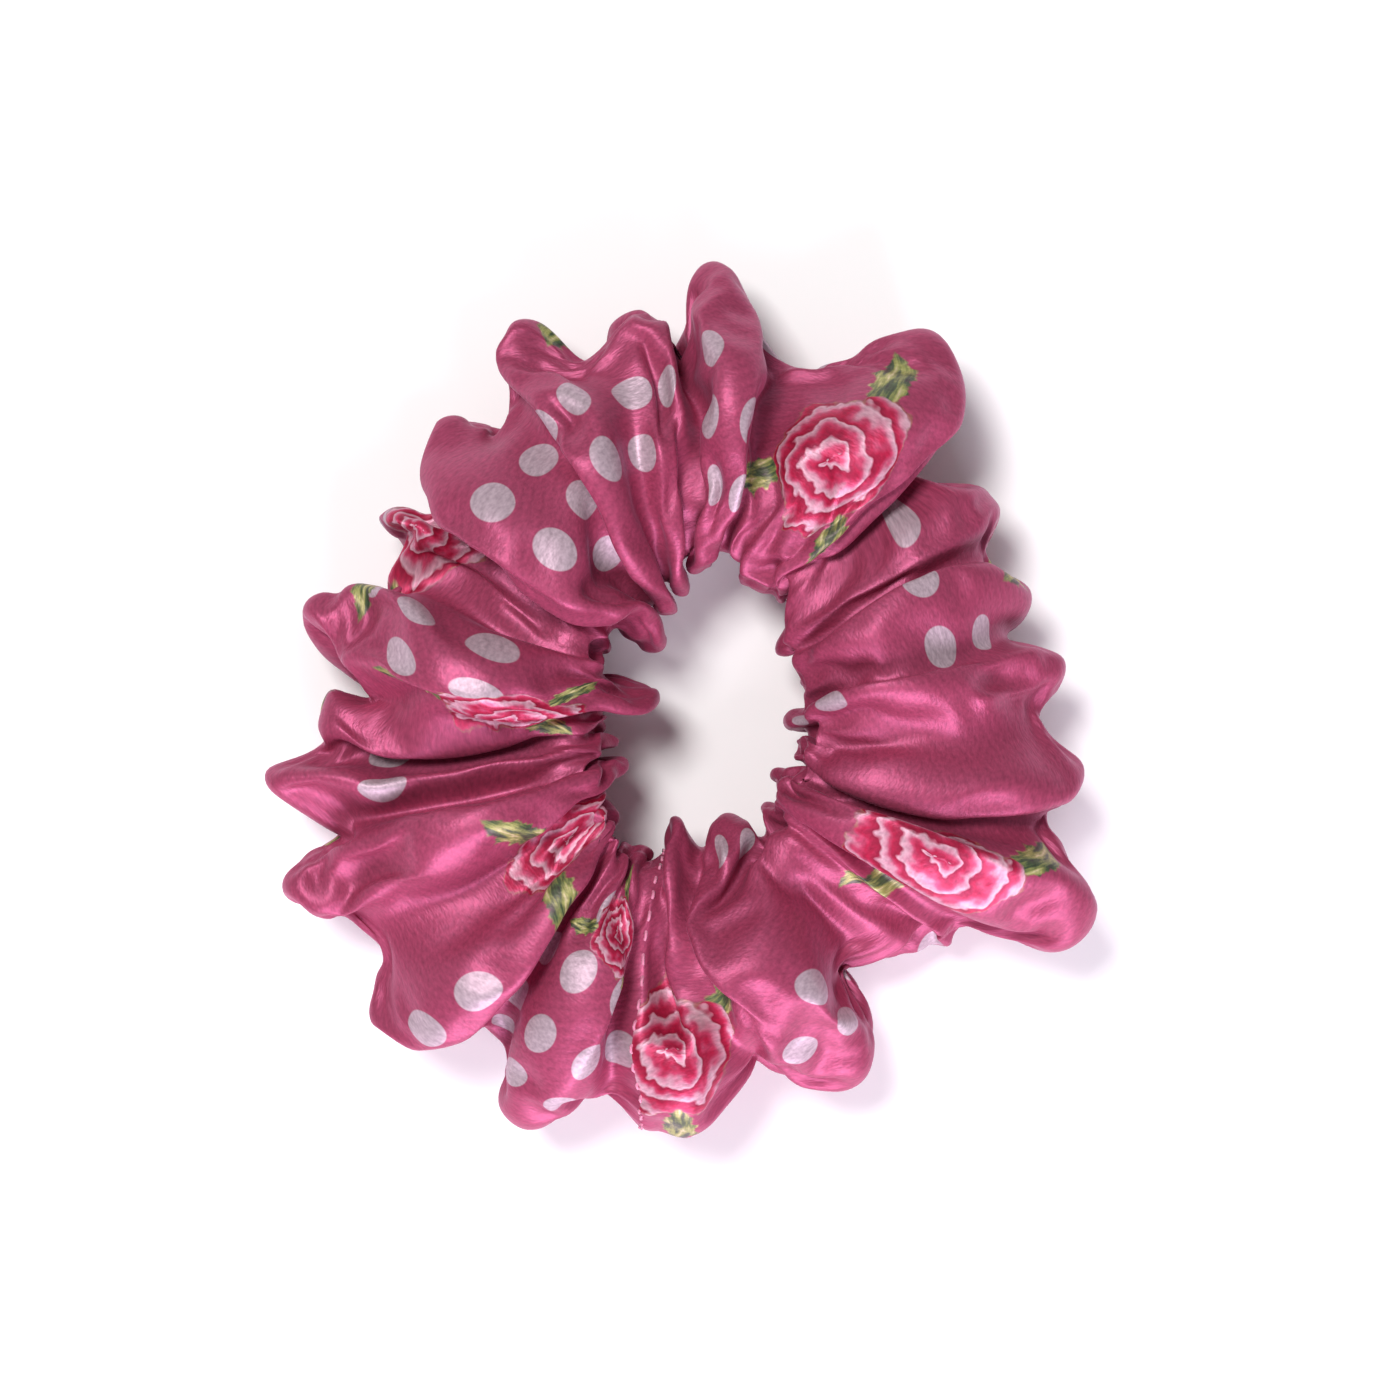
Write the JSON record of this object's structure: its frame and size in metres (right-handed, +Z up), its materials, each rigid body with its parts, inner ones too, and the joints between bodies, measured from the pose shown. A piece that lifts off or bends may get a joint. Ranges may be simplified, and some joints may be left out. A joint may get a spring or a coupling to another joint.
{
  "type": "scrunchie",
  "caption": "Scrunchie: a printed satin tube gathered in deep folds on a loop of flat elastic, lying flat round a drop-shaped opening for the hair.",
  "frame": {"origin": "on the surface it lies on, under the middle of its outline", "axes": "+Z up, away from the surface it lies on; +Y along the longer side of its outline and of the hair opening, towards the opening's narrow end; the tube's closing seam is at -Y"},
  "size_m": [0.1077, 0.1143, 0.03],
  "materials": {
    "satin": "glossy printed satin, pink with white dots and red roses",
    "elastic": "matt knitted flat elastic",
    "thread": "pink polyester sewing thread"
  },
  "bodies": {
    "bottom_right": {"casing_bottom_start": "satin", "casing_bottom_right": "satin", "elastic_bottom_right": "elastic", "long_seam_bottom_right": "thread", "closing_seam_thread": "thread", "elastic_stitching": "thread"},
    "right_lower": {"casing_right_lower": "satin", "elastic_right_lower": "elastic", "long_seam_right_lower": "thread"},
    "right_middle": {"casing_right_middle": "satin", "elastic_right_middle": "elastic", "long_seam_right_middle": "thread"},
    "right_upper": {"casing_right_upper": "satin", "elastic_right_upper": "elastic", "long_seam_right_upper": "thread"},
    "top": {"casing_top_right": "satin", "casing_top": "satin", "casing_top_left": "satin", "elastic_top": "elastic", "long_seam_top": "thread"},
    "left_upper": {"casing_left_upper": "satin", "elastic_left_upper": "elastic", "long_seam_left_upper": "thread"},
    "left_middle": {"casing_left_middle": "satin", "elastic_left_middle": "elastic", "long_seam_left_middle": "thread"},
    "left_lower": {"casing_left_lower": "satin", "elastic_left_lower": "elastic", "long_seam_left_lower": "thread"},
    "bottom_left": {"casing_bottom_left": "satin", "casing_bottom_end": "satin", "elastic_bottom_left": "elastic", "long_seam_bottom_left": "thread"}
  },
  "joints": [
    {"name": "stretch", "type": "slide", "parent": "bottom_right", "child": "right_lower", "axis": [0, 1, 0], "range_m": [0, 0.011], "stiffness_N_per_m": 120},
    {"name": "stretch_right_middle", "type": "slide", "parent": "right_lower", "child": "right_middle", "axis": [0, 1, 0], "range_m": [0, 0.011], "stiffness_N_per_m": 120},
    {"name": "stretch_right_upper", "type": "slide", "parent": "right_middle", "child": "right_upper", "axis": [0, 1, 0], "range_m": [0, 0.011], "stiffness_N_per_m": 120},
    {"name": "stretch_top", "type": "slide", "parent": "right_upper", "child": "top", "axis": [0, 1, 0], "range_m": [0, 0.011], "stiffness_N_per_m": 120},
    {"name": "stretch_left_upper", "type": "slide", "parent": "top", "child": "left_upper", "axis": [0, -1, 0], "range_m": [0, 0.011], "stiffness_N_per_m": 120},
    {"name": "stretch_left_middle", "type": "slide", "parent": "left_upper", "child": "left_middle", "axis": [0, -1, 0], "range_m": [0, 0.011], "stiffness_N_per_m": 120},
    {"name": "stretch_left_lower", "type": "slide", "parent": "left_middle", "child": "left_lower", "axis": [0, -1, 0], "range_m": [0, 0.011], "stiffness_N_per_m": 120},
    {"name": "stretch_bottom_left", "type": "slide", "parent": "left_lower", "child": "bottom_left", "axis": [0, -1, 0], "range_m": [0, 0.011], "stiffness_N_per_m": 120}
  ],
  "couplings": [
    {"joint": "stretch_right_middle", "follows": "stretch", "ratio": 1},
    {"joint": "stretch_right_upper", "follows": "stretch", "ratio": 1},
    {"joint": "stretch_top", "follows": "stretch", "ratio": 1},
    {"joint": "stretch_left_upper", "follows": "stretch", "ratio": 1},
    {"joint": "stretch_left_middle", "follows": "stretch", "ratio": 1},
    {"joint": "stretch_left_lower", "follows": "stretch", "ratio": 1},
    {"joint": "stretch_bottom_left", "follows": "stretch", "ratio": 1}
  ]
}
